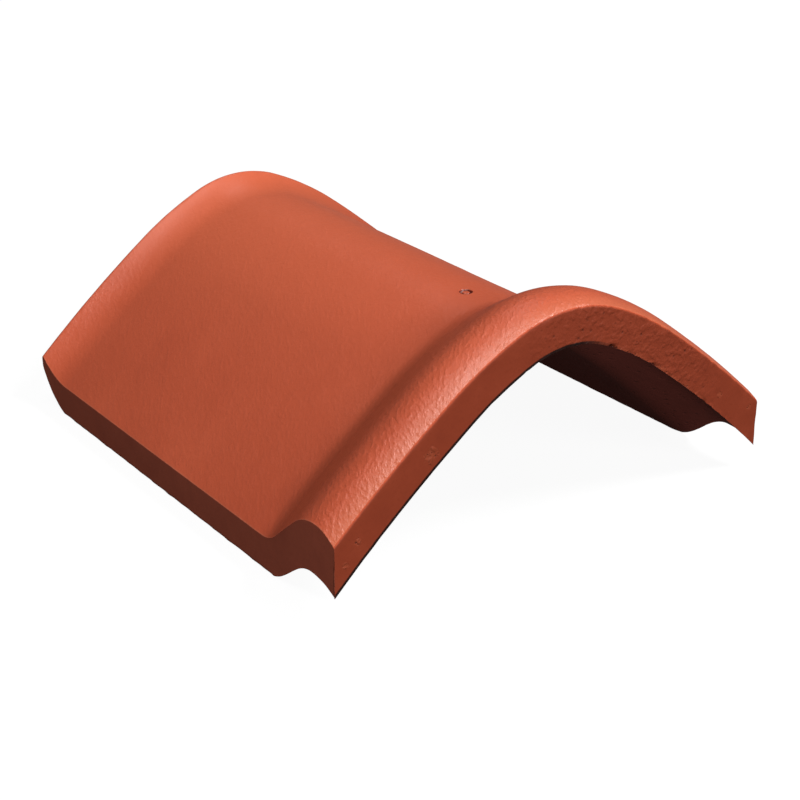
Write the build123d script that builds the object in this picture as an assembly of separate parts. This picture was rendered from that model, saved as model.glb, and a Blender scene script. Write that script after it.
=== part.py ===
from build123d import *
from math import asin, cos, degrees, radians, sin, sqrt, tan
import os

# A pressed ridge tile: an arched shell that straddles a roof's ridge, with a raised collar roll at its
# front end, which covers the next tile's flared lip. Millimetres. The ridge runs along Y with the collar
# towards -Y, the feet stand on z = 0, and the origin is midway along the ridge, between the feet.

# Overall sizes
tile_width = 250.0
tile_length = 281.0
wall = 12.8
foot_width = 1.2
overrun = 20.0

# Arch of the shell's underside: three tangent arcs on each side, each to its bearing from straight up
crown_radius = 43.5
crown_bearing = 23.1
shoulder_radius = 154.8
shoulder_bearing = 36.6
skirt_radius = 713.7

# Collar roll on the outside of the front end
roll_rise = 18.0
roll_radius = 30.6
roll_crest_run = 14.9
roll_flank_slope = 32.5
roll_cove_radius = 21.3

# Socket under the collar, which hooks over the next tile's lip
socket_rise = 12.8
socket_mouth_radius = 51.7
socket_back_radius = 25.3
socket_crest_run = 17.4
socket_flank_slope = 28.6
socket_cove_radius = 37.0

# Flared lip at the far end
lip_run = 26.6
lip_cove_radius = 51.1
bow_run = 31.3
bow_radius = 40.5

# Rounded arrises outside, bevelled arrises underneath
collar_arris_radius = 1.5
lip_arris_radius = 2.0
socket_mouth_bevel = 1.5
lip_underside_bevel = 1.0

# Ring moulded on the crown where a nail may be driven through
nail_mark_run = 73.8
nail_mark_radius = 3.1
nail_groove_width = 1.1
nail_groove_depth = 1.4
nail_plug_sink = 0.3


def polar(centre, radius, bearing):
    """Point at a bearing, in degrees from straight up, on a circle in a plane across the ridge."""
    x, z = centre
    return x + radius * sin(radians(bearing)), z + radius * cos(radians(bearing))


def arch_arcs(apex):
    """Centre, radius, start and end bearing of the crown, shoulder and skirt arcs of the right side."""
    crown = (0, apex - crown_radius)
    shoulder = polar(polar(crown, crown_radius, crown_bearing), -shoulder_radius, crown_bearing)
    skirt = polar(polar(shoulder, shoulder_radius, shoulder_bearing), -skirt_radius, shoulder_bearing)
    skirt_bearing = degrees(asin((tile_width / 2 + overrun - skirt[0]) / skirt_radius))
    return [
        (crown, crown_radius, -crown_bearing, crown_bearing),
        (shoulder, shoulder_radius, crown_bearing, shoulder_bearing),
        (skirt, skirt_radius, shoulder_bearing, skirt_bearing),
    ]


def apex_height():
    """Height of the underside's crown over the feet, whose inner edges the skirt arcs meet."""
    skirt, radius, _, _ = arch_arcs(0)[-1]
    foot_reach = tile_width / 2 - foot_width - skirt[0]
    return -(skirt[1] + sqrt(radius ** 2 - foot_reach ** 2))


def hump(base, rise, crest_run, front_radius, back_radius, slope, cove_radius):
    """Front crest arc, back crest arc, straight flank and cove of a hump in the section, front to back."""
    crest = base + rise
    front_turn = degrees(asin(crest_run / front_radius))
    drop = rise - (back_radius + cove_radius) * (1 - cos(radians(slope)))
    cove_run = crest_run + (back_radius + cove_radius) * sin(radians(slope)) + drop / tan(radians(slope))
    front = CenterArc((crest_run, crest - front_radius), front_radius, 90 + front_turn, -front_turn)
    back = CenterArc((crest_run, crest - back_radius), back_radius, 90, -slope)
    cove = CenterArc((cove_run, base + cove_radius), cove_radius, 270 - slope, slope)
    return [front, back, Line(back @ 1, cove @ 0), cove]


def flare(base, run, radius):
    """Arc that turns up from the shell over the last stretch before the far end."""
    turn = degrees(asin(run / radius))
    return CenterArc((tile_length - run, base + radius), radius, 270, turn)


def long_section():
    """Section along the ridge: run from the front end across, height off the underside's arch upwards."""
    roll = hump(wall, roll_rise, roll_crest_run, roll_radius, roll_radius, roll_flank_slope,
                roll_cove_radius)
    socket = hump(0, socket_rise, socket_crest_run, socket_mouth_radius, socket_back_radius,
                  socket_flank_slope, socket_cove_radius)
    lip = flare(wall, lip_run, lip_cove_radius)
    bow = flare(0, bow_run, bow_radius)
    outside = roll + [Line(roll[-1] @ 1, lip @ 0), lip]
    underside = socket + [Line(socket[-1] @ 1, bow @ 0), bow]
    ends = [Line(underside[0] @ 0, outside[0] @ 0), Line(lip @ 1, bow @ 1)]
    return softened(make_face(Wire(outside + underside + ends)))


def end_corner(section, end, edge):
    """Corner of the section at the front (0) or far (-1) end, at the underside (0) or outside (-1)."""
    return section.vertices().group_by(Axis.X)[end].sort_by(Axis.Y)[edge]


def softened(section):
    """Takes the sharpness off the four arrises of the section's ends."""
    section = fillet(end_corner(section, 0, -1), collar_arris_radius)
    section = fillet(end_corner(section, -1, -1), lip_arris_radius)
    section = chamfer(end_corner(section, 0, 0), socket_mouth_bevel)
    return chamfer(end_corner(section, -1, 0), lip_underside_bevel)


def arch_station(centre, radius, bearing):
    """Plane square to the arch at a bearing: along the ridge, then outwards."""
    x, z = polar(centre, radius, bearing)
    across = (cos(radians(bearing)), 0, -sin(radians(bearing)))
    return Plane(origin=(x, -tile_length / 2, z), x_dir=(0, 1, 0), z_dir=across)


def wedge(section, side, centre, radius, start, end):
    """The section turned about one arc's axis between two bearings, on the right or the left side."""
    x, z = centre
    profile = arch_station((side * x, z), radius, side * start) * section
    return revolve(profile, Axis((side * x, 0, z), (0, 1, 0)), side * (end - start))


def trimmed(wedge):
    """Cuts a skirt off upright at the tile's width and level at the feet."""
    headroom = apex_height() + wall + roll_rise + overrun
    sides = Align.CENTER
    return wedge & Box(tile_width, tile_length + overrun, headroom, align=(sides, sides, Align.MIN))


def shell():
    """Wedges of the crown, the shoulders and the skirts, which meet in tangent surfaces."""
    section = long_section()
    crown, shoulder, skirt = arch_arcs(apex_height())
    arch = wedge(section, 1, *crown)
    for side in (1, -1):
        arch += [wedge(section, side, *shoulder), trimmed(wedge(section, side, *skirt))]
    return arch


def nail_mark():
    """Ring groove round a slightly sunken plug, as the cutter that leaves it."""
    top = apex_height() + wall
    place = Pos(0, nail_mark_run - tile_length / 2, top - nail_groove_depth)
    centred = (Align.CENTER, Align.CENTER, Align.MIN)
    ring = Cylinder(nail_mark_radius, nail_groove_depth + overrun, align=centred)
    plug = Cylinder(nail_mark_radius - nail_groove_width, nail_groove_depth - nail_plug_sink, align=centred)
    return place * (ring - plug)


def ridge_tile():
    return shell() - nail_mark()


os.makedirs("parts", exist_ok=True)
export_step(ridge_tile(), "parts/ridge_tile.step")
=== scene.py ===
"""Looks of a pressed ridge tile: an arched shell with a collar roll, coated terracotta red."""

from math import asin, cos, degrees, pi, radians, sin, sqrt, tan

import bmesh
import bpy
import numpy as np
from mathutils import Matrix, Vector, noise


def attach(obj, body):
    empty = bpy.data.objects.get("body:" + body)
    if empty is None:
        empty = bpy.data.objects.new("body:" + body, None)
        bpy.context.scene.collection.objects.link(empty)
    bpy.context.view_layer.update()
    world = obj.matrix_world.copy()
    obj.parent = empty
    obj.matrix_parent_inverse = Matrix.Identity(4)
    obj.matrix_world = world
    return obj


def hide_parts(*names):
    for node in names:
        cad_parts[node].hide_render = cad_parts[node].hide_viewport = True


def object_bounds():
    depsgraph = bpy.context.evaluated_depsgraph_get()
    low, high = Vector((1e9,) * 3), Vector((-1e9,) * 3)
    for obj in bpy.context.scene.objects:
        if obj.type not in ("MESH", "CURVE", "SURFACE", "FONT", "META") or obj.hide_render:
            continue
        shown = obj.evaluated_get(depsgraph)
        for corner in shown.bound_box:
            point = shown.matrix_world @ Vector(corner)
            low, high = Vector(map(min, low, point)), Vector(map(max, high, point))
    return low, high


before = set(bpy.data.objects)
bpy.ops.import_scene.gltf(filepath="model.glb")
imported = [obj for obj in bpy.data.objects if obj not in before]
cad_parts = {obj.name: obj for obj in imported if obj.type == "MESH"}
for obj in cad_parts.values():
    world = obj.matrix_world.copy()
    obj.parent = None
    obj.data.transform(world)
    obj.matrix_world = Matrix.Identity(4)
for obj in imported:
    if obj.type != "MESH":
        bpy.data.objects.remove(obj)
cad_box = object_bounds()

MM = 0.001

# Overall sizes, from the frame
TILE_WIDTH = cad_box[1][0] - cad_box[0][0]
TILE_LENGTH = cad_box[1][1] - cad_box[0][1]
FRONT_Y = cad_box[0][1]

# Wall, and the arch of its underside: three tangent arcs a side, each to its bearing from upright
WALL = 12.8 * MM
FOOT_WIDTH = 1.2 * MM
CROWN_RADIUS = 43.5 * MM
CROWN_BEARING = 23.1
SHOULDER_RADIUS = 154.8 * MM
SHOULDER_BEARING = 36.6
SKIRT_RADIUS = 713.7 * MM

# Humps of the section: rise, run of the crest from the front, radii before and behind it, slope of the
# flank, radius of the cove
ROLL = dict(rise=18.0 * MM, crest=14.9 * MM, front=30.6 * MM, back=30.6 * MM, slope=32.5,
            cove=21.3 * MM)
SOCKET = dict(rise=12.8 * MM, crest=17.4 * MM, front=45.0 * MM, back=25.3 * MM, slope=28.6,
              cove=37.0 * MM)

# Flare of the far end: run and radius outside and underneath
LIP_RUN = 26.6 * MM
LIP_RADIUS = 51.1 * MM
BOW_RUN = 31.3 * MM
BOW_RADIUS = 40.5 * MM

# Arrises: rounded outside, eased underneath, and eased unevenly where the skirts are cut off, from a
# least share upwards
COLLAR_ARRIS = 1.5 * MM
LIP_ARRIS = 1.2 * MM
MOUTH_EASE = 0.3 * MM
LIP_UNDER_EASE = 1.0 * MM
CUT_EASE = 0.5 * MM
LEAST_EASE = 0.4
CUT_WAVER = 6 * MM

# Nail mark: a ring groove round a slightly sunken plug
MARK_RUN = 73.8 * MM
MARK_RADIUS = 3.1 * MM
MARK_GROOVE = 1.1 * MM
MARK_DEPTH = 1.4 * MM
MARK_SINK = 0.3 * MM
MARK_EASE = 0.3 * MM

# Unevenness of a pressed shell: how deep, how far from hollow to hollow, and up to what height the
# feet stay true
SAG_DEPTH = 0.16 * MM
SAG_REACH = 45 * MM
DIMPLE_DEPTH = 0.07 * MM
DIMPLE_REACH = 8 * MM
TRUE_FOOT = 4 * MM

# Chips along the arrises: depth, reach, noise over which one starts, band, and where across the tile
# they are down to a share and where they are full
CHIP_DEPTH = 1.2 * MM
CHIP_REACH = 4.5 * MM
CHIP_LEVEL = 0.6
CHIPPED_BAND = 2.2 * MM
WHOLE_TO = -60 * MM
WHOLE_SHARE = 0.1
CHIPPED_FROM = 0 * MM

# Mesh counts: on an arc of the section, along the shell, across an end face, round an arris, and
# across each arc of half the arch
ARC_POINTS = 160
ALONG = 200
END_FACE = 8
ROUND = 4
CROWN_STEPS = 12
SHOULDER_STEPS = 22
SKIRT_STEPS = 60

# Half the size, in steps of the grid, of the patch that makes room for the nail mark
MARK_ALONG = 5
MARK_ACROSS = 3

# Finishes, in the order of the material slots
COAT, FACE, CUT, UNDER = range(4)

# What the mesh keeps for each of its points: ways to arrises in millimetres, and the share of painted
# shade in the groove
MARK_NAMES = ("cut_way", "collar_way", "mouth_way", "groove")


# Section along the ridge, in run from the front end and rise off the underside's arch

def arc(centre, radius, start, sweep, count=ARC_POINTS):
    """Points on a circle, from a start angle in degrees through a sweep."""
    angle = np.radians(start + sweep * np.linspace(0, 1, count))
    return np.column_stack([centre[0] + radius * np.cos(angle), centre[1] + radius * np.sin(angle)])


def spaced(line, count):
    """The same line with its points evenly spaced along it."""
    steps = np.linalg.norm(np.diff(line, axis=0), axis=1)
    places = np.concatenate([[0], np.cumsum(steps)])
    wanted = np.linspace(0, places[-1], count + 1)
    return np.column_stack([np.interp(wanted, places, line[:, axis]) for axis in (0, 1)])


def hump(base, rise, crest, front, back, slope, cove, front_turn=None):
    """Line over a hump: front arc, back arc, straight flank and cove, in that order."""
    turn = degrees(asin(crest / front)) if front_turn is None else front_turn
    drop = rise - (back + cove) * (1 - cos(radians(slope)))
    cove_run = crest + (back + cove) * sin(radians(slope)) + drop / tan(radians(slope))
    front_arc = arc((crest, base + rise - front), front, 90 + turn, -turn)
    back_arc = arc((crest, base + rise - back), back, 90, -slope)
    cove_arc = arc((cove_run, base + cove), cove, 270 - slope, slope)
    return np.vstack([front_arc, back_arc, cove_arc])


def flare(base, run, radius, used=None):
    """Line that turns up from the shell towards the far end, over the used part of its run."""
    turn = degrees(asin((run if used is None else used) / radius))
    return arc((TILE_LENGTH - run, base + radius), radius, 270, turn)


def eased(before, corner, after):
    """Curve that leaves one edge, bends round the corner and meets the next."""
    t = np.linspace(0, 1, ROUND + 1)[:, None]
    bend = 2 * t * (1 - t) * np.array(corner)
    return (1 - t) ** 2 * np.array(before) + bend + t ** 2 * np.array(after)


def collar_arris():
    """Rounding between the front face and the roll, and the turn at which the roll takes over."""
    crest_run, crest_centre = ROLL["crest"], WALL + ROLL["rise"] - ROLL["front"]
    inner = ROLL["front"] - COLLAR_ARRIS
    rise = crest_centre + sqrt(inner ** 2 - (crest_run - COLLAR_ARRIS) ** 2)
    turn = degrees(asin((crest_run - COLLAR_ARRIS) / inner))
    return arc((COLLAR_ARRIS, rise), COLLAR_ARRIS, 180, turn - 90, ROUND + 1), turn


def lip_arris():
    """Rounding between the lip and the rim, and how much of the lip's run is left."""
    cove_run, cove_rise = TILE_LENGTH - LIP_RUN, WALL + LIP_RADIUS
    reach = LIP_RADIUS + LIP_ARRIS
    run = TILE_LENGTH - LIP_ARRIS
    rise = cove_rise - sqrt(reach ** 2 - (run - cove_run) ** 2)
    turn = degrees(asin((run - cove_run) / reach))
    rounding = arc((run, rise), LIP_ARRIS, 90 + turn, -90 - turn, ROUND + 1)
    return rounding, LIP_RADIUS * sin(radians(turn))


def section_chains():
    """The closed section as chains of points, each with its finish, in order round it."""
    collar_round, roll_turn = collar_arris()
    lip_round, lip_used = lip_arris()
    roll = hump(WALL, front_turn=roll_turn, **ROLL)
    outside = np.vstack([roll, flare(WALL, LIP_RUN, LIP_RADIUS, lip_used)])
    under = np.vstack([hump(0, **SOCKET), flare(0, BOW_RUN, BOW_RADIUS)])
    mouth, tail = under[0], under[-1]
    inside = under[(under[:, 0] > MOUTH_EASE) & (under[:, 0] < TILE_LENGTH - LIP_UNDER_EASE)]
    mouth_face = mouth + (0, MOUTH_EASE)
    rim_foot = tail + (0, LIP_UNDER_EASE)
    return [
        (spaced(np.array([mouth_face, collar_round[0]]), END_FACE), FACE),
        (collar_round, FACE),
        (spaced(outside, ALONG), COAT),
        (lip_round, COAT),
        (spaced(np.array([lip_round[-1], rim_foot]), END_FACE), FACE),
        (eased(rim_foot, tail, inside[-1]), UNDER),
        (spaced(inside[::-1], ALONG), UNDER),
        (eased(inside[0], mouth, mouth_face), UNDER),
    ]


def section_loop():
    """The section as a closed loop, each strip's finish, and each point's ways to the arrises."""
    points, finishes, arrises = [], [], []
    for chain, finish in section_chains():
        if len(chain) == ROUND + 1:
            arrises.append(len(finishes) + ROUND // 2)
        points.append(chain[:-1])
        finishes += [finish] * (len(chain) - 1)
    loop = np.vstack(points)
    steps = np.linalg.norm(np.roll(loop, -1, axis=0) - loop, axis=1)
    places = np.concatenate([[0], np.cumsum(steps)])
    around = places[-1]
    ways = (places[:-1, None] - places[arrises][None] + around / 2) % around - around / 2
    return loop, finishes, ways


# Arch across the ridge

def on_arc(centre, radius, bearing):
    """Point at a bearing, in radians from upright, on a circle across the ridge."""
    return centre[0] + radius * np.sin(bearing), centre[1] + radius * np.cos(bearing)


def arch_arcs(apex):
    """The right side's arcs under a given apex: centre, radius and, but for the last, end bearing."""
    crown_end, shoulder_end = radians(CROWN_BEARING), radians(SHOULDER_BEARING)
    crown = (0.0, apex - CROWN_RADIUS)
    shoulder = on_arc(on_arc(crown, CROWN_RADIUS, crown_end), -SHOULDER_RADIUS, crown_end)
    skirt = on_arc(on_arc(shoulder, SHOULDER_RADIUS, shoulder_end), -SKIRT_RADIUS, shoulder_end)
    shoulder_arc = (shoulder, SHOULDER_RADIUS, shoulder_end)
    return (crown, CROWN_RADIUS, crown_end), shoulder_arc, (skirt, SKIRT_RADIUS)


def apex_height():
    """Height of the underside's crown over the feet."""
    centre, radius = arch_arcs(0.0)[2]
    reach = TILE_WIDTH / 2 - FOOT_WIDTH - centre[0]
    return -(centre[1] + sqrt(radius ** 2 - reach ** 2))


CROWN_ARC, SHOULDER_ARC, SKIRT_ARC = arch_arcs(apex_height())


def skirt_end(rise):
    """Bearing at which a line of the shell meets the side cut or the floor, whichever comes first."""
    centre, radius = SKIRT_ARC
    at_cut = np.arcsin((TILE_WIDTH / 2 - centre[0]) / (radius + rise))
    at_floor = np.arccos(np.clip(-centre[1] / (radius + rise), -1, 1))
    return np.minimum(at_cut, at_floor)


def waver(point, reach, seed):
    """Smooth noise, mostly from 0 to 1, that changes over the given reach."""
    return 0.5 + noise.noise(Vector(point) / reach + Vector((0, 0, seed)))


def inset(loop, distance):
    """A closed loop moved inwards, square to itself."""
    along = np.roll(loop, -1, axis=0) - np.roll(loop, 1, axis=0)
    along /= np.linalg.norm(along, axis=1)[:, None]
    return loop + np.column_stack([along[:, 1], -along[:, 0]]) * distance[:, None]


def half_rows(loop, side):
    """Rows from the crown to a side cut, right (1) or left (-1), and each point's way to the cut."""
    run, rise = loop[:, 0], loop[:, 1]
    y = FRONT_Y + run
    edge_bearing = skirt_end(rise)
    rows, ways = [], []

    def add_row(arc_centre, radius, bearing, way):
        x, z = on_arc(arc_centre, radius + rise, bearing)
        rows.append(np.column_stack([x, y, z]))
        ways.append(way * np.ones(len(loop)))

    start = 0.0
    for (centre, radius, end), steps in ((CROWN_ARC, CROWN_STEPS), (SHOULDER_ARC, SHOULDER_STEPS)):
        for step in range(steps):
            add_row(centre, radius, start + (end - start) * step / steps, TILE_WIDTH)
        start = end
    centre, radius = SKIRT_ARC
    edge_x, edge_z = on_arc(centre, radius + rise, edge_bearing)
    edge = np.column_stack([edge_x, y, edge_z])
    ease = CUT_EASE * np.array([LEAST_EASE + waver(point, CUT_WAVER, seed=side) for point in edge])
    last = edge_bearing - ease / (radius + rise)
    for step in range(SKIRT_STEPS + 1):
        bearing = start + (last - start) * step / SKIRT_STEPS
        add_row(centre, radius, bearing, (edge_bearing - bearing) * (radius + rise))
    corner = edge.copy()
    corner[:, 0] = TILE_WIDTH / 2
    flat = corner.copy()
    flat[:, 1:] = inset(corner[:, 1:], ease)
    leaving = rows[-1]
    for step in range(1, ROUND + 1):
        t = step / ROUND
        near = (1 - t) ** 2 * ((1 - t) * leaving + 3 * t * edge)
        far = t ** 2 * (3 * (1 - t) * corner + t * flat)
        rows.append(near + far)
        ways.append(np.abs(1 - 2 * t) * ease)
    return [row * (side, 1, 1) for row in rows], ways


# The tile's mesh

class Grid:
    """Points, faces and finishes, and each point's marks, as they are laid out."""

    def __init__(self):
        self.points, self.faces, self.finishes, self.marks = [], [], [], []

    def add(self, point, cut_way=TILE_WIDTH, collar_way=TILE_WIDTH, mouth_way=TILE_WIDTH, groove=0.0):
        self.points.append(point)
        self.marks.append((cut_way / MM, collar_way / MM, mouth_way / MM, groove))
        return len(self.points) - 1

    def fill(self, face, finish):
        self.faces.append(face)
        self.finishes.append(finish)

    def compact(self):
        """Drops the points that no face uses."""
        used = sorted({point for face in self.faces for point in face})
        place = {old: new for new, old in enumerate(used)}
        self.points = [self.points[old] for old in used]
        self.marks = [self.marks[old] for old in used]
        self.faces = [tuple(place[point] for point in face) for face in self.faces]


def lay_shell(grid):
    """Lays the swept shell, left cut to right cut, with a hole for the nail mark.

    Gives the number of points in a row, the number of rows, the middle row and the mark's place in it.
    """
    loop, finishes, loop_ways = section_loop()
    right, right_ways = half_rows(loop, 1)
    left, left_ways = half_rows(loop, -1)
    rows = left[:0:-1] + right
    ways = left_ways[:0:-1] + right_ways
    size, middle = len(loop), len(left) - 1
    for row, way in zip(rows, ways):
        for place in range(size):
            collar_way, _, rim_way, mouth_way = loop_ways[place]
            grid.add(row[place], min(way[place], abs(rim_way)), collar_way, abs(mouth_way))
    outside = END_FACE + ROUND
    mark_place = outside + int(np.argmin(np.abs(loop[outside:outside + ALONG, 0] - MARK_RUN)))
    for row in range(len(rows) - 1):
        past_arris = min(row, len(rows) - 2 - row) < ROUND // 2
        for place in range(size):
            along, across = abs(place + 0.5 - mark_place), abs(row + 0.5 - middle)
            if along < MARK_ALONG and across < MARK_ACROSS:
                continue
            first, second = row * size, (row + 1) * size
            after = (place + 1) % size
            face = (first + place, first + after, second + after, second + place)
            grid.fill(face, CUT if past_arris else finishes[place])
    return size, len(rows), middle, mark_place


def lay_cut(grid, first, size):
    """Closes a side cut with a patch between the four sides of its outline."""
    half, tall, wide = ROUND // 2, END_FACE + ROUND, ALONG + ROUND
    outline = np.roll(np.array(grid.points[first:first + size]), half, axis=0)
    front, top = outline[:tall + 1], outline[tall:tall + wide + 1]
    back = outline[tall + wide:2 * tall + wide + 1][::-1]
    bottom = np.vstack([outline[2 * tall + wide:], outline[:1]])[::-1]
    index = np.zeros((tall + 1, wide + 1), int)

    def on_outline(place):
        return first + (place - half) % size

    for up in range(tall + 1):
        share = up / tall
        front_bend = front[up] - (1 - share) * front[0] - share * front[-1]
        back_bend = back[up] - (1 - share) * back[0] - share * back[-1]
        for along in range(wide + 1):
            if along == 0:
                index[up, along] = on_outline(up)
            elif up == tall:
                index[up, along] = on_outline(tall + along)
            elif along == wide:
                index[up, along] = on_outline(2 * tall + wide - up)
            elif up == 0:
                index[up, along] = on_outline(2 * (tall + wide) - along)
            else:
                near_front = max(0, 1 - along / tall) ** 2
                near_back = max(0, 1 - (wide - along) / tall) ** 2
                point = (1 - share) * bottom[along] + share * top[along]
                point = point + near_front * front_bend + near_back * back_bend
                rims = np.array([bottom[along], top[along], front[up], back[up]])
                index[up, along] = grid.add(point, np.linalg.norm(rims - point, axis=1).min())
    for lower, upper in zip(index[:-1], index[1:]):
        for along in range(wide):
            grid.fill((lower[along], lower[along + 1], upper[along + 1], upper[along]), CUT)


def mark_rings():
    """Radius, depth and share of painted groove shade of each ring of the nail mark, from the plain
    surface in.
    """
    outer, inner, ease = MARK_RADIUS, MARK_RADIUS - MARK_GROOVE, MARK_EASE
    return [
        (outer + 3 * ease, 0, 0),
        (outer + ease, 0, 0),
        (outer + ease / 3, ease / 5, 0.2),
        (outer, ease, 0.8),
        (outer - ease / 2, MARK_DEPTH - ease / 2, 1),
        ((outer + inner) / 2, MARK_DEPTH, 1),
        (inner + ease / 2, MARK_DEPTH - ease / 2, 1),
        (inner, MARK_SINK + ease, 0.8),
        (inner - ease / 2, MARK_SINK + ease / 5, 0.2),
        (inner - 2 * ease, MARK_SINK, 0),
        (inner / 3, MARK_SINK, 0),
    ]


def lay_nail_mark(grid, size, middle, mark_place):
    """Fills the hole in the crown with the rings of the nail mark."""
    half_across, half_along = MARK_ACROSS, MARK_ALONG
    walk = [(half_across, step) for step in range(half_along)]
    walk += [(step, half_along) for step in range(half_across, -half_across, -1)]
    walk += [(-half_across, step) for step in range(half_along, -half_along, -1)]
    walk += [(step, -half_along) for step in range(-half_across, half_across)]
    walk += [(half_across, step) for step in range(-half_along, 0)]
    outer = [(middle + across) * size + mark_place + along for across, along in walk]
    count = len(outer)
    centre, crown_radius = CROWN_ARC[0], CROWN_RADIUS + WALL
    mark_y = FRONT_Y + MARK_RUN

    def crown(x, y, depth):
        return np.array([x, y, centre[1] + sqrt(crown_radius ** 2 - x ** 2) - depth])

    for radius, depth, groove in mark_rings():
        ring = []
        for step in range(count):
            angle = 2 * pi * step / count
            point = crown(radius * cos(angle), mark_y + radius * sin(angle), depth)
            ring.append(grid.add(point, groove=groove))
        for step in range(count):
            after = (step + 1) % count
            grid.fill((outer[step], outer[after], ring[after], ring[step]), COAT)
        outer = ring
    tip = grid.add(crown(0, mark_y, MARK_SINK))
    for step in range(count):
        grid.fill((outer[step], outer[(step + 1) % count], tip), COAT)


def worn_depth(point, ways):
    """How far the surface lies under its true shape: slow sag, dimples and chipped arrises."""
    sag = SAG_DEPTH * waver(point, SAG_REACH, seed=3)
    depth = sag + DIMPLE_DEPTH * waver(point, DIMPLE_REACH, seed=4)
    way = min(abs(way) for way in ways) * MM
    if way < CHIPPED_BAND:
        chip = max(0, waver(point, CHIP_REACH, seed=5) - CHIP_LEVEL)
        whole = min(1, max(WHOLE_SHARE, (point[0] - WHOLE_TO) / (CHIPPED_FROM - WHOLE_TO)))
        depth += CHIP_DEPTH * chip * (1 - way / CHIPPED_BAND) * whole
    return max(depth, 0) * min(1, point[2] / TRUE_FOOT)


def build_tile():
    """The tile's mesh, pressed a little unevenly, with each point's marks kept."""
    grid = Grid()
    size, rows, middle, mark_place = lay_shell(grid)
    lay_nail_mark(grid, size, middle, mark_place)
    lay_cut(grid, 0, size)
    lay_cut(grid, (rows - 1) * size, size)
    grid.compact()
    mesh = bpy.data.meshes.new("ridge_tile_shell")
    mesh.from_pydata([tuple(point) for point in grid.points], [], grid.faces)
    mesh.polygons.foreach_set("material_index", grid.finishes)
    work = bmesh.new()
    work.from_mesh(mesh)
    bmesh.ops.recalc_face_normals(work, faces=work.faces)
    work.to_mesh(mesh)
    work.free()
    outwards = np.zeros(len(grid.points) * 3)
    mesh.vertex_normals.foreach_get("vector", outwards)
    worn = [worn_depth(point, marks[:3]) for point, marks in zip(grid.points, grid.marks)]
    places = np.array(grid.points) - outwards.reshape(-1, 3) * np.array(worn)[:, None]
    mesh.vertices.foreach_set("co", np.clip(places, *cad_box).ravel())
    for name, values in zip(MARK_NAMES, np.array(grid.marks).T):
        mesh.attributes.new(name, "FLOAT", "POINT").data.foreach_set("value", values.copy())
    mesh.shade_smooth()
    shell = bpy.data.objects.new("ridge_tile_shell", mesh)
    bpy.context.scene.collection.objects.link(shell)
    return shell


# Effects that the finishes share

# Noise: the middle of its values, how far from it a cloud is full, where a fleck starts and is full,
# and how much a fleck shows
NOISE_MIDDLE = 0.5
CLOUD_SPREAD = 0.25
FLECK_FROM = 0.52
FLECK_FULL = 0.75
FLECK_SHARE = 0.6

# Relief: the noise at which a ripple starts and is full, its mean height, and how much finer the
# grain is
RIPPLE_FROM = 0.4
RIPPLE_FULL = 0.7
RIPPLE_MEAN = 0.33
GRAIN_FINENESS = 2.6

# Rough patch, in its own reaches: how deep its rags go, and how far it is full
RAG_DEPTH = 1.6
PATCH_CORE = 0.5


class Nodes:
    """A node tree with short calls to add nodes and to link or set their inputs."""

    def __init__(self, tree):
        self.tree = tree

    def add(self, kind, settings=(), **inputs):
        node = self.tree.nodes.new(kind)
        for name, value in dict(settings).items():
            setattr(node, name, value)
        for name, value in inputs.items():
            self.put(node, name, value)
        return node

    def put(self, node, name, value):
        """Links or sets the input of that name, or of the number that follows 'at'."""
        key = int(name[2:]) if name.startswith("at") and name[2:].isdigit() else name
        socket = node.inputs[key]
        if isinstance(value, bpy.types.NodeSocket):
            self.tree.links.new(value, socket)
        else:
            socket.default_value = value

    def math(self, operation, *values, clamp=False):
        node = self.add("ShaderNodeMath", {"operation": operation, "use_clamp": clamp})
        for number, value in enumerate(values):
            self.put(node, "at%d" % number, value)
        return node.outputs[0]

    def fade(self, value, start, end):
        """0 at the start, 1 at the end, smooth between them."""
        node = self.add("ShaderNodeMapRange", {"interpolation_type": "SMOOTHSTEP"}, Value=value)
        self.put(node, "From Min", start)
        self.put(node, "From Max", end)
        return node.outputs["Result"]

    def between(self, share, least, most):
        """The least at a share of 0 and the most at 1."""
        return self.math("MULTIPLY_ADD", share, most - least, least)

    def mix(self, share, first, second):
        """The first colour at a share of 0 and the second at 1."""
        node = self.add("ShaderNodeMix", {"data_type": "RGBA"}, Factor=share)
        self.put(node, "at6", first)
        self.put(node, "at7", second)
        return node.outputs[2]


def effect(name, inputs, outputs):
    """An empty node group with named inputs, each with its kind and value, and named outputs."""
    tree = bpy.data.node_groups.new(name, "ShaderNodeTree")

    def add_socket(socket_name, way, kind):
        return tree.interface.new_socket(socket_name, in_out=way, socket_type="NodeSocket" + kind)

    for socket_name, kind, value in inputs:
        add_socket(socket_name, "INPUT", kind).default_value = value
    for socket_name, kind in outputs:
        add_socket(socket_name, "OUTPUT", kind)
    nodes = Nodes(tree)
    return nodes, nodes.add("NodeGroupInput").outputs, nodes.add("NodeGroupOutput")


def here(nodes):
    """Place on the piece, in metres."""
    return nodes.add("ShaderNodeTexCoord").outputs["Object"]


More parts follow.
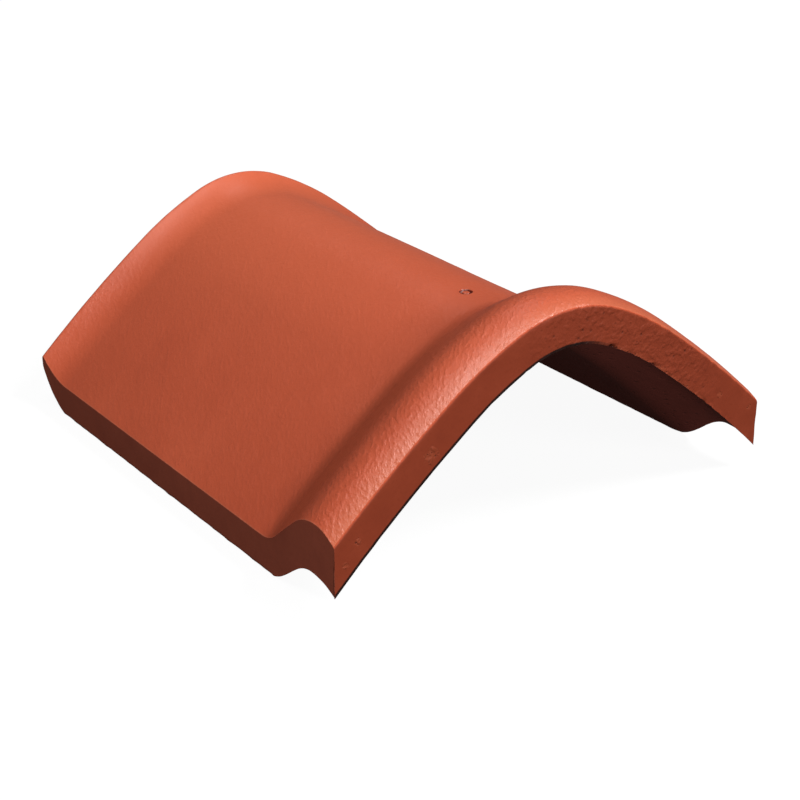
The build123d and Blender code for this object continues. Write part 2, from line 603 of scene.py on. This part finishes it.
def pressed_relief():
    """Height, about 0 on average, of ripples drawn out along the stroke, with grain over them."""
    inputs = [("Ripples", "Float", 400.0), ("Stroke", "Vector", (0.0, 0.0, 0.0)),
              ("Stretch", "Float", 0.5), ("Grain", "Float", 0.3)]
    nodes, given, out = effect("pressed_relief", inputs, [("Height", "Float")])
    turned = nodes.add("ShaderNodeVectorRotate", {"rotation_type": "EULER_XYZ"}, Vector=here(nodes),
                       Rotation=given["Stroke"]).outputs[0]
    parts = nodes.add("ShaderNodeSeparateXYZ", Vector=turned).outputs
    along = nodes.math("MULTIPLY", parts["X"], given["Stretch"])
    drawn = nodes.add("ShaderNodeCombineXYZ", X=along, Y=parts["Y"], Z=parts["Z"]).outputs[0]
    ripples = nodes.add("ShaderNodeTexNoise", Vector=drawn, Scale=given["Ripples"], Detail=1.5,
                        Roughness=0.45)
    finer = nodes.math("MULTIPLY", given["Ripples"], GRAIN_FINENESS)
    grain = nodes.add("ShaderNodeTexNoise", Vector=drawn, Scale=finer, Detail=2.0, Roughness=0.6)
    crests = nodes.fade(ripples.outputs["Fac"], RIPPLE_FROM, RIPPLE_FULL)
    level_crests = nodes.math("SUBTRACT", crests, RIPPLE_MEAN)
    level_grain = nodes.math("SUBTRACT", grain.outputs["Fac"], NOISE_MIDDLE)
    grained = nodes.math("MULTIPLY_ADD", level_grain, given["Grain"], level_crests)
    nodes.put(out, "Height", grained)
    return nodes.tree


def sand_pits():
    """Small pits, scattered at random, as 1 in a pit and 0 on the surface."""
    inputs = [("Pits", "Float", 300.0), ("Share", "Float", 0.2), ("Width", "Float", 0.4)]
    nodes, given, out = effect("sand_pits", inputs, [("Mask", "Float")])
    spots = nodes.add("ShaderNodeTexVoronoi", Vector=here(nodes), Scale=given["Pits"], Randomness=1.0)
    chance = nodes.add("ShaderNodeSeparateColor", Color=spots.outputs["Color"]).outputs[0]
    picked = nodes.math("LESS_THAN", chance, given["Share"])
    dip = nodes.fade(spots.outputs["Distance"], given["Width"], 0.0)
    nodes.put(out, "Mask", nodes.math("MULTIPLY", dip, picked))
    return nodes.tree


def tone_drift():
    """Slow drift of the colour between a deeper and a paler tone, with fine flecks over it."""
    inputs = [("Color", "Color", (0.5, 0.5, 0.5, 1)), ("Deeper", "Color", (0.4, 0.4, 0.4, 1)),
              ("Paler", "Color", (0.6, 0.6, 0.6, 1)), ("Clouds", "Float", 30.0),
              ("Flecks", "Float", 700.0)]
    nodes, given, out = effect("tone_drift", inputs, [("Color", "Color")])
    clouds = nodes.add("ShaderNodeTexNoise", Vector=here(nodes), Scale=given["Clouds"], Detail=3.0)
    flecks = nodes.add("ShaderNodeTexNoise", Vector=here(nodes), Scale=given["Flecks"], Detail=2.0)
    pale = nodes.fade(clouds.outputs["Fac"], NOISE_MIDDLE, NOISE_MIDDLE + CLOUD_SPREAD)
    deep = nodes.fade(clouds.outputs["Fac"], NOISE_MIDDLE, NOISE_MIDDLE - CLOUD_SPREAD)
    speck = nodes.fade(flecks.outputs["Fac"], FLECK_FROM, FLECK_FULL)
    colour = nodes.mix(pale, given["Color"], given["Paler"])
    colour = nodes.mix(deep, colour, given["Deeper"])
    flecked = nodes.mix(nodes.math("MULTIPLY", speck, FLECK_SHARE), colour, given["Deeper"])
    nodes.put(out, "Color", flecked)
    return nodes.tree


def arris_band():
    """Band along an arris, 1 within one distance and 0 beyond another, with a wavering border."""
    inputs = [("Way", "Float", 9.0), ("Full", "Float", 0.5), ("Gone", "Float", 1.5),
              ("Waves", "Float", 250.0), ("Waver", "Float", 0.5)]
    nodes, given, out = effect("arris_band", inputs, [("Mask", "Float")])
    waves = nodes.add("ShaderNodeTexNoise", Vector=here(nodes), Scale=given["Waves"], Detail=2.0)
    swing = nodes.math("SUBTRACT", waves.outputs["Fac"], NOISE_MIDDLE)
    way = nodes.math("MULTIPLY_ADD", swing, given["Waver"], given["Way"])
    nodes.put(out, "Mask", nodes.fade(way, given["Gone"], given["Full"]))
    return nodes.tree


def rough_patch():
    """One round patch with a ragged, soft border, 1 in its middle and 0 outside it."""
    inputs = [("Centre", "Vector", (0.0, 0.0, 0.0)), ("Reach", "Float", 0.004),
              ("Rags", "Float", 400.0)]
    nodes, given, out = effect("rough_patch", inputs, [("Mask", "Float")])
    rags = nodes.add("ShaderNodeTexNoise", Vector=here(nodes), Scale=given["Rags"], Detail=2.0)
    swing = nodes.math("SUBTRACT", rags.outputs["Fac"], NOISE_MIDDLE)
    shift = nodes.math("MULTIPLY", swing, given["Reach"])
    way = nodes.add("ShaderNodeVectorMath", {"operation": "DISTANCE"}, at0=here(nodes),
                    at1=given["Centre"])
    ragged = nodes.math("MULTIPLY_ADD", shift, RAG_DEPTH, way.outputs["Value"])
    core = nodes.math("MULTIPLY", given["Reach"], PATCH_CORE)
    nodes.put(out, "Mask", nodes.fade(ragged, given["Reach"], core))
    return nodes.tree


RELIEF = pressed_relief()
PITS = sand_pits()
DRIFT = tone_drift()
BAND = arris_band()
PATCH = rough_patch()

# Rotation that turns the stroke of the press and the spray onto the X axis, in radians
STROKE = (0.0, 0.75, -0.82)


def tint(red, green, blue):
    return (red, green, blue, 1)


# Tones of each finish: the usual one, a deeper one and a paler one
COAT_TONES = (tint(0.496, 0.082, 0.0315), tint(0.456, 0.0725, 0.0275), tint(0.526, 0.0905, 0.036))
# The end faces' tones: the coat's, deepened as painted shade
FACE_SHADE_TONES = (tint(0.172, 0.0268, 0.0098), tint(0.155, 0.0235, 0.0085), tint(0.19, 0.031, 0.012))
CUT_TONES = (tint(0.205, 0.0468, 0.0258), tint(0.186, 0.041, 0.023), tint(0.224, 0.0515, 0.0287))
UNDER_TONES = (tint(0.08, 0.0175, 0.0125), tint(0.07, 0.0155, 0.011), tint(0.09, 0.0195, 0.014))

# Tones of single places
# Rubbed coat on the cut arris, with the edge's glint painted in
RUBBED_GLINT_TONE = tint(0.6, 0.19, 0.11)
# Painted light, paler on the crown towards the far end and its lip
CROWN_LIGHT_TONE = tint(0.57, 0.107, 0.043)
# Painted highlight along the front of the roll
ROLL_HIGHLIGHT_TONE = tint(0.49, 0.104, 0.0435)
# Painted shade of the valley behind the roll, red near the ridge and brown down the slopes
VALLEY_SHADE_RED = tint(0.475, 0.066, 0.02)
VALLEY_SHADE_BROWN = tint(0.42, 0.063, 0.019)
# Painted shade inside the nail mark's groove
GROOVE_SHADE_TONE = tint(0.16, 0.014, 0.005)
TORN_TONE = tint(0.34, 0.085, 0.035)
FACE_PIT_TONE = tint(0.08, 0.014, 0.006)
CUT_PIT_TONE = tint(0.09, 0.02, 0.012)
UNDER_PIT_TONE = tint(0.06, 0.014, 0.01)
# Painted shade along the mouth's edge, on the left leg
MOUTH_SHADE_TONE = tint(0.012, 0.003, 0.002)

# How much of its tone a rubbed arris with its painted glint, a torn place or a pit takes on
RUBBED_GLINT_SHARE = 0.3
TORN_SHARE = 0.14
FACE_PIT_SHARE = 0.75
CUT_PIT_SHARE = 0.3
UNDER_PIT_SHARE = 0.5

# Depth of each finish's relief and pits
COAT_RELIEF = 0.11 * MM
FACE_RELIEF = 0.35 * MM
FACE_PITS = 0.4 * MM
CUT_RELIEF = 0.03 * MM
CUT_PITS = 0.2 * MM
UNDER_RELIEF = 0.06 * MM
UNDER_PITS = 0.35 * MM

# Coat: its roughness, how far the relief sways that, the relief's share on the body, the run from
# which the body has it, and the run up to which the relief is full
SATIN = 0.39
SATIN_SWAY = 0.05
BODY_RELIEF = 0.4
ROLL_TO = 50 * MM
ROLL_CREST = 20 * MM

# Painted shade in the valley behind the roll, a deeper tone on the coat: the runs at which it sets in,
# is full, starts to fade and is gone, and how far from the ridge its tone turns from red to brown
VALLEY_FROM = 18 * MM
VALLEY_FULL = 34 * MM
VALLEY_FADES = 47 * MM
VALLEY_GONE = 59 * MM
RED_TO = 5 * MM
BROWN_FROM = 38 * MM

# Painted light on the coat, paler on the crown and more so towards the far end: from one run and
# height to another, with its least share before each, and how far back the painted highlight on the
# roll's front rim reaches
EVEN_TO = 30 * MM
PALE_FROM = 250 * MM
NEAR_SHARE = 0.25
SLOPE_TO = 50 * MM
CROWN_FROM = 95 * MM
SLOPE_SHARE = 0.15
ROLL_HIGHLIGHT_REACH = 12 * MM

# Front face: where across the tile it is sandy, its relief's share where smooth and where torn, where
# its painted shade along the mouth ends, and the middles and reaches of its rough patches in
# millimetres
SMOOTH_TO = -40 * MM
SANDY_FROM = 10 * MM
SANDY_TO = 72 * MM
SMOOTH_FROM = 104 * MM
SMOOTH_RELIEF = 0.08
TORN_RELIEF = 1.5
MOUTH_SHADE_TO = 5 * MM
UNSHADED_FROM = 35 * MM
SCARS = [((-75.1, 64.9), 4.5), ((-112.9, 35.8), 2.0), ((-119.1, 26.3), 2.0), ((97.7, 46.6), 2.0),
         ((118.9, 34.5), 1.6)]


# Finishes

def finish(name, shine, roughness=0.5):
    """A material with its own shader, whose uniform values sit on the shader's sockets."""
    material = bpy.data.materials.new(name)
    material.use_nodes = True
    nodes = Nodes(material.node_tree)
    shader = material.node_tree.nodes["Principled BSDF"]
    shader.inputs["Roughness"].default_value = roughness
    shader.inputs["Specular IOR Level"].default_value = shine
    return material, nodes, shader


def placed(nodes, group, **inputs):
    """The output of an effect, with its inputs linked or set."""
    node = nodes.add("ShaderNodeGroup", {"node_tree": group})
    for name, value in inputs.items():
        nodes.put(node, name, value)
    return node.outputs[0]


def drifting(nodes, tones, clouds, flecks):
    """Colour that drifts between a finish's tones."""
    usual, deeper, paler = tones
    return placed(nodes, DRIFT, Color=usual, Deeper=deeper, Paler=paler, Clouds=clouds,
                  Flecks=flecks)


def dented(nodes, height, depth, over=None):
    """A bump of a given depth in metres, over another if there is one."""
    node = nodes.add("ShaderNodeBump", Height=height, Distance=depth)
    if over is not None:
        nodes.put(node, "Normal", over)
    return node.outputs[0]


def pitted(nodes, relief, relief_depth, pits, pit_depth):
    """Relief with pits sunk into it."""
    smooth = dented(nodes, relief, relief_depth)
    return dented(nodes, nodes.math("SUBTRACT", 1.0, pits), pit_depth, smooth)


def kept(nodes, name):
    """A value that the mesh keeps for each of its points."""
    return nodes.add("ShaderNodeAttribute", {"attribute_name": name}).outputs["Fac"]


def near_collar_arris(nodes):
    """1 on the front face, fading to 0 over the collar's arris."""
    way = kept(nodes, "collar_way")
    return placed(nodes, BAND, Way=way, Full=-0.5, Gone=1.2, Waves=350.0, Waver=0.8)


def shaded_mouth(nodes, across, full, gone, waver):
    """Painted shade in a band along the mouth's arris, up to a place across the tile."""
    way = kept(nodes, "mouth_way")
    band = placed(nodes, BAND, Way=way, Full=full, Gone=gone, Waves=300.0, Waver=waver)
    return nodes.math("MULTIPLY", band, nodes.fade(across, UNSHADED_FROM, MOUTH_SHADE_TO))


def coat():
    """Terracotta red coat, satin, over the pressed outside."""
    material, nodes, shader = finish("terracotta_coat", shine=0.9)
    place = nodes.add("ShaderNodeSeparateXYZ", Vector=here(nodes)).outputs
    run = nodes.math("SUBTRACT", place["Y"], FRONT_Y)
    cut_way = kept(nodes, "cut_way")
    rubbed_glint = placed(nodes, BAND, Way=cut_way, Full=0.2, Gone=0.9, Waves=300.0, Waver=0.8)
    high = nodes.between(nodes.fade(place["Z"], SLOPE_TO, CROWN_FROM), SLOPE_SHARE, 1.0)
    far = nodes.between(nodes.fade(run, EVEN_TO, PALE_FROM), NEAR_SHARE, 1.0)
    # Where the painted shade of the valley behind the roll lies, and where it turns brown
    into_valley_shade = nodes.fade(run, VALLEY_FROM, VALLEY_FULL)
    valley_shade = nodes.math("MULTIPLY", into_valley_shade, nodes.fade(run, VALLEY_GONE, VALLEY_FADES))
    brown = nodes.fade(nodes.math("ABSOLUTE", place["X"]), RED_TO, BROWN_FROM)
    colour = drifting(nodes, COAT_TONES, clouds=22.0, flecks=600.0)
    # Rubbed coat and a painted glint along the cut arris
    colour = nodes.mix(nodes.math("MULTIPLY", rubbed_glint, RUBBED_GLINT_SHARE), colour, RUBBED_GLINT_TONE)
    # Painted light, paler on the crown towards the far end
    colour = nodes.mix(nodes.math("MULTIPLY", far, high), colour, CROWN_LIGHT_TONE)
    # Painted highlight along the front of the roll
    colour = nodes.mix(nodes.fade(run, ROLL_HIGHLIGHT_REACH, 0.0), colour, ROLL_HIGHLIGHT_TONE)
    # Painted shade in the valley behind the roll
    colour = nodes.mix(valley_shade, colour, nodes.mix(brown, VALLEY_SHADE_RED, VALLEY_SHADE_BROWN))
    # Painted shade of the front face, fading over the collar's arris
    colour = nodes.mix(near_collar_arris(nodes), colour, FACE_SHADE_TONES[0])
    # Painted shade inside the nail mark's groove
    nodes.put(shader, "Base Color", nodes.mix(kept(nodes, "groove"), colour, GROOVE_SHADE_TONE))
    relief = placed(nodes, RELIEF, Ripples=520.0, Stroke=STROKE, Stretch=0.65, Grain=0.8)
    nodes.put(shader, "Roughness", nodes.math("MULTIPLY_ADD", relief, SATIN_SWAY, SATIN))
    on_roll = nodes.between(nodes.fade(run, ROLL_TO, ROLL_CREST), BODY_RELIEF, 1.0)
    nodes.put(shader, "Normal", dented(nodes, nodes.math("MULTIPLY", relief, on_roll), COAT_RELIEF))
    return material


def scars(nodes):
    """All the rough patches of the front face, as one mask."""
    mask = 0.0
    for (x, z), reach in SCARS:
        spot = (x * MM, FRONT_Y, z * MM)
        patch = placed(nodes, PATCH, Centre=spot, Reach=reach * MM, Rags=420.0)
        mask = nodes.math("MAXIMUM", mask, patch)
    return mask


def face_coat():
    """The same coat, matt, on the end faces, where sand shows through it; its deeper tone is painted
    shade.
    """
    material, nodes, shader = finish("thin_coat", shine=0.15, roughness=0.6)
    across = nodes.add("ShaderNodeSeparateXYZ", Vector=here(nodes)).outputs["X"]
    sandy = nodes.math("MULTIPLY", nodes.fade(across, SMOOTH_TO, SANDY_FROM),
                       nodes.fade(across, SMOOTH_FROM, SANDY_TO))
    mouth_way = kept(nodes, "mouth_way")
    edge = placed(nodes, BAND, Way=mouth_way, Full=0.2, Gone=1.6, Waves=260.0, Waver=4.0)
    torn = nodes.math("MAXIMUM", scars(nodes), nodes.math("MULTIPLY", edge, sandy))
    pits = placed(nodes, PITS, Pits=420.0, Share=0.1, Width=0.45)
    crumbs = placed(nodes, PITS, Pits=750.0, Share=0.6, Width=0.5)
    hollows = nodes.math("MAXIMUM", nodes.math("MULTIPLY", pits, sandy),
                         nodes.math("MULTIPLY", crumbs, torn))
    colour = drifting(nodes, FACE_SHADE_TONES, clouds=60.0, flecks=500.0)
    colour = nodes.mix(nodes.math("MULTIPLY", torn, TORN_SHARE), colour, TORN_TONE)
    colour = nodes.mix(nodes.math("MULTIPLY", hollows, FACE_PIT_SHARE), colour, FACE_PIT_TONE)
    colour = nodes.mix(near_collar_arris(nodes), COAT_TONES[0], colour)
    # Painted shade along the mouth's edge
    mouth_shade = shaded_mouth(nodes, across, full=1.2, gone=1.8, waver=0.4)
    nodes.put(shader, "Base Color", nodes.mix(mouth_shade, colour, MOUTH_SHADE_TONE))
    relief = placed(nodes, RELIEF, Ripples=310.0, Stroke=STROKE, Stretch=1.0, Grain=0.7)
    rough = nodes.math("MAXIMUM", nodes.between(sandy, SMOOTH_RELIEF, 1.0),
                       nodes.math("MULTIPLY", torn, TORN_RELIEF))
    uneven = nodes.math("MULTIPLY", relief, rough)
    nodes.put(shader, "Normal", pitted(nodes, uneven, FACE_RELIEF, hollows, FACE_PITS))
    return material


def cut_side():
    """Matt brown-red of the upright side cuts, smeared and slightly sandy."""
    material, nodes, shader = finish("smeared_cut", shine=0.1, roughness=0.75)
    pits = placed(nodes, PITS, Pits=380.0, Share=0.08, Width=0.4)
    colour = drifting(nodes, CUT_TONES, clouds=45.0, flecks=400.0)
    nodes.put(shader, "Base Color",
              nodes.mix(nodes.math("MULTIPLY", pits, CUT_PIT_SHARE), colour, CUT_PIT_TONE))
    relief = placed(nodes, RELIEF, Ripples=240.0, Stroke=STROKE, Stretch=1.0, Grain=0.6)
    nodes.put(shader, "Normal", pitted(nodes, relief, CUT_RELIEF, pits, CUT_PITS))
    return material


def underside():
    """Dull brown-red of the underside, where the mix shows as it left the pallet."""
    material, nodes, shader = finish("pallet_side", shine=0.1, roughness=0.85)
    across = nodes.add("ShaderNodeSeparateXYZ", Vector=here(nodes)).outputs["X"]
    pits = placed(nodes, PITS, Pits=330.0, Share=0.25, Width=0.5)
    colour = drifting(nodes, UNDER_TONES, clouds=35.0, flecks=350.0)
    colour = nodes.mix(nodes.math("MULTIPLY", pits, UNDER_PIT_SHARE), colour, UNDER_PIT_TONE)
    # Painted shade along the mouth's edge
    mouth_shade = shaded_mouth(nodes, across, full=0.8, gone=1.6, waver=0.6)
    nodes.put(shader, "Base Color", nodes.mix(mouth_shade, colour, MOUTH_SHADE_TONE))
    relief = placed(nodes, RELIEF, Ripples=260.0, Stroke=STROKE, Stretch=1.0, Grain=0.8)
    nodes.put(shader, "Normal", pitted(nodes, relief, UNDER_RELIEF, pits, UNDER_PITS))
    return material


shell = build_tile()
for material in (coat(), face_coat(), cut_side(), underside()):
    shell.data.materials.append(material)
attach(shell, "root")
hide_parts("ridge_tile")


# Studio

CAMERA_SPOT = (-0.4634, -0.6539, 0.3853)
CAMERA_YAW = 35.918
CAMERA_PITCH = 24.617
CAMERA_LENS = 76.874
SENSOR_WIDTH = 36

# Floor: half its side, its own grey tone, its glow near the tile and how far that reaches
FLOOR_REACH = 4.0
FLOOR_TONE = tint(0.1, 0.1, 0.1)
FLOOR_GLOW = 0.93
SHADOW_REACH = 0.4

# Strength of the surroundings on the object, and share of the white background that its gloss shows
SURROUNDINGS = 0.05
SEEN_IN_GLOSS = 0.02

STUDIO_CENTRE = Vector((0, 0, 0.06))
LAMP_DISTANCE = 2.0
LAMP_SIZE = 0.6


def add_camera():
    """Camera at the photograph's place, level and looking down on the tile's left front."""
    lens = bpy.data.cameras.new("camera")
    lens.lens = CAMERA_LENS
    lens.sensor_width = SENSOR_WIDTH
    camera = bpy.data.objects.new("camera", lens)
    camera.location = CAMERA_SPOT
    camera.rotation_euler = (radians(90 - CAMERA_PITCH), 0, radians(-CAMERA_YAW))
    bpy.context.scene.collection.objects.link(camera)
    bpy.context.scene.camera = camera


def seen(nodes):
    """1 for the rays that see the background: straight, through glass, or in part by gloss."""
    light_path = nodes.add("ShaderNodeLightPath").outputs
    clear = nodes.math("ADD", light_path["Is Camera Ray"], light_path["Is Transmission Ray"])
    return nodes.math("MULTIPLY_ADD", light_path["Is Glossy Ray"], SEEN_IN_GLOSS, clear, clamp=True)


def add_floor():
    """Pale floor that keeps a faint shadow and throws little light back at the tile."""
    mesh = bpy.data.meshes.new("floor")
    sides = ((-1, -1), (1, -1), (1, 1), (-1, 1))
    mesh.from_pydata([(x * FLOOR_REACH, y * FLOOR_REACH, 0) for x, y in sides], [], [(0, 1, 2, 3)])
    floor = bpy.data.objects.new("floor", mesh)
    bpy.context.scene.collection.objects.link(floor)
    material = bpy.data.materials.new("pale_floor")
    material.use_nodes = True
    nodes = Nodes(material.node_tree)
    nodes.tree.nodes.remove(material.node_tree.nodes["Principled BSDF"])
    away = nodes.add("ShaderNodeVectorMath", {"operation": "LENGTH"}, at0=here(nodes))
    pale = nodes.fade(away.outputs["Value"], SHADOW_REACH, FLOOR_REACH / 2)
    level = nodes.between(pale, FLOOR_GLOW, 1.0)
    glow = nodes.add("ShaderNodeEmission", Strength=level)
    matt = nodes.add("ShaderNodeBsdfDiffuse", Color=FLOOR_TONE)
    shown = nodes.add("ShaderNodeAddShader", at0=glow.outputs[0], at1=matt.outputs[0])
    both = nodes.add("ShaderNodeMixShader", Fac=seen(nodes), at1=matt.outputs[0],
                     at2=shown.outputs[0])
    nodes.put(nodes.tree.nodes["Material Output"], "Surface", both.outputs[0])
    mesh.materials.append(material)


def add_surroundings():
    """White to the camera, and close to dark for everything else."""
    world = bpy.data.worlds.new("studio")
    bpy.context.scene.world = world
    world.use_nodes = True
    nodes = Nodes(world.node_tree)
    background = world.node_tree.nodes["Background"]
    background.inputs["Color"].default_value = tint(1, 1, 1)
    nodes.put(background, "Strength", nodes.between(seen(nodes), SURROUNDINGS, 1.0))


def add_lamp(name, azimuth, elevation, level):
    """Soft round lamp, turned round from the front and up; its level is what a white face shows."""
    towards = Vector((sin(radians(azimuth)) * cos(radians(elevation)),
                      -cos(radians(azimuth)) * cos(radians(elevation)), sin(radians(elevation))))
    lamp = bpy.data.lights.new(name, "AREA")
    lamp.shape = "DISK"
    lamp.size = LAMP_SIZE
    lamp.energy = level * (pi * LAMP_DISTANCE) ** 2
    holder = bpy.data.objects.new(name, lamp)
    holder.location = STUDIO_CENTRE + towards * LAMP_DISTANCE
    holder.rotation_euler = towards.to_track_quat("Z", "Y").to_euler()
    bpy.context.scene.collection.objects.link(holder)


add_camera()
add_floor()
add_surroundings()
add_lamp("low_front", -30, 8, 0.605)
add_lamp("front", 15, 22, 0.324)
add_lamp("right_above", 45, 50, 0.75)
add_lamp("left_above", -60, 65, 0.255)
add_lamp("above", 0, 89, 0.11)
add_lamp("left_behind", -118, 62, 0.045)
add_lamp("right_behind", 150, 55, 0.032)
bpy.context.scene.view_settings.view_transform = "Standard"
